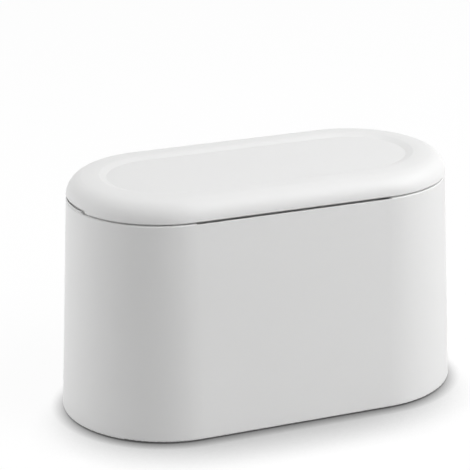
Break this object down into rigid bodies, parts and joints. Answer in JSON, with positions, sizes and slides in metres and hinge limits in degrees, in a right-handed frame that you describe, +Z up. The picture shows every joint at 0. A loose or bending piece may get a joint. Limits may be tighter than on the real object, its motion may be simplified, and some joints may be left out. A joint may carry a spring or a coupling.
{
  "type": "push top countertop bin",
  "caption": "Small white stadium-shaped countertop bin whose shallow lid springs open when its front is pressed, with a lift-out ring that holds the bag.",
  "frame": {"origin": "centre of the footprint, on the surface that the foot pads stand on", "axes": "+X along the length to the right, -Y to the front where the latch is, +Y to the rear where the hinges are, +Z up"},
  "size_m": [0.2398, 0.1218, 0.1409],
  "materials": {
    "white_shell": "satin",
    "white_trim": "satin",
    "grey_acetal": "satin",
    "steel": "satin",
    "pad_rubber": "matte"
  },
  "bodies": {
    "body": {"body_shell": "white_shell", "foot_pads": "pad_rubber"},
    "ring": {"bag_retaining_ring": "white_trim", "latch_housing": "white_trim", "latch_cover": "white_trim", "latch_cover_screws": "steel", "latch_cam_pin": "steel", "latch_spring": "steel", "hinge_pin_left": "steel", "hinge_pin_right": "steel", "hinge_spring_left": "steel", "hinge_spring_right": "steel"},
    "lid": {"lid_shell": "white_shell", "hinge_leaf_left": "white_trim", "hinge_leaf_right": "white_trim", "hinge_leaf_screws": "steel", "lid_striker": "grey_acetal", "striker_screws": "steel"},
    "plunger": {"latch_plunger": "grey_acetal", "latch_jaw_pins": "steel"},
    "jaw_left": {"latch_jaw_left": "white_trim"},
    "jaw_right": {"latch_jaw_right": "white_trim"}
  },
  "joints": [
    {"name": "ring_lift", "type": "slide", "parent": "body", "child": "ring", "axis": [0, 0, 1], "range_m": [0, 0.06]},
    {"name": "lid_hinge", "type": "hinge", "parent": "ring", "child": "lid", "pos_m": [0, 0.055, 0.1282], "axis": [-1, 0, 0], "range_deg": [-0.4, 105], "stiffness_Nm_per_rad": 0.022, "springref_deg": 143.24, "deforming": ["hinge_spring_left", "hinge_spring_right"]},
    {"name": "latch_slide", "type": "slide", "parent": "ring", "child": "plunger", "axis": [0, 0, 1], "range_m": [-0.001, 0.003], "stiffness_N_per_m": 1000, "springref_m": 0.0045, "deforming": ["latch_spring"]},
    {"name": "jaw_left_pivot", "type": "hinge", "parent": "plunger", "child": "jaw_left", "pos_m": [-0.0049, -0.0413, 0.1112], "axis": [0, -1, 0], "range_deg": [-3.6, 9.7]},
    {"name": "jaw_right_pivot", "type": "hinge", "parent": "plunger", "child": "jaw_right", "pos_m": [0.0049, -0.0413, 0.1112], "axis": [0, 1, 0], "range_deg": [-3.6, 9.7]}
  ],
  "couplings": [
    {"joint": "jaw_left_pivot", "follows": "latch_slide", "rad_per_m": 46.542},
    {"joint": "jaw_right_pivot", "follows": "latch_slide", "rad_per_m": 46.542}
  ]
}
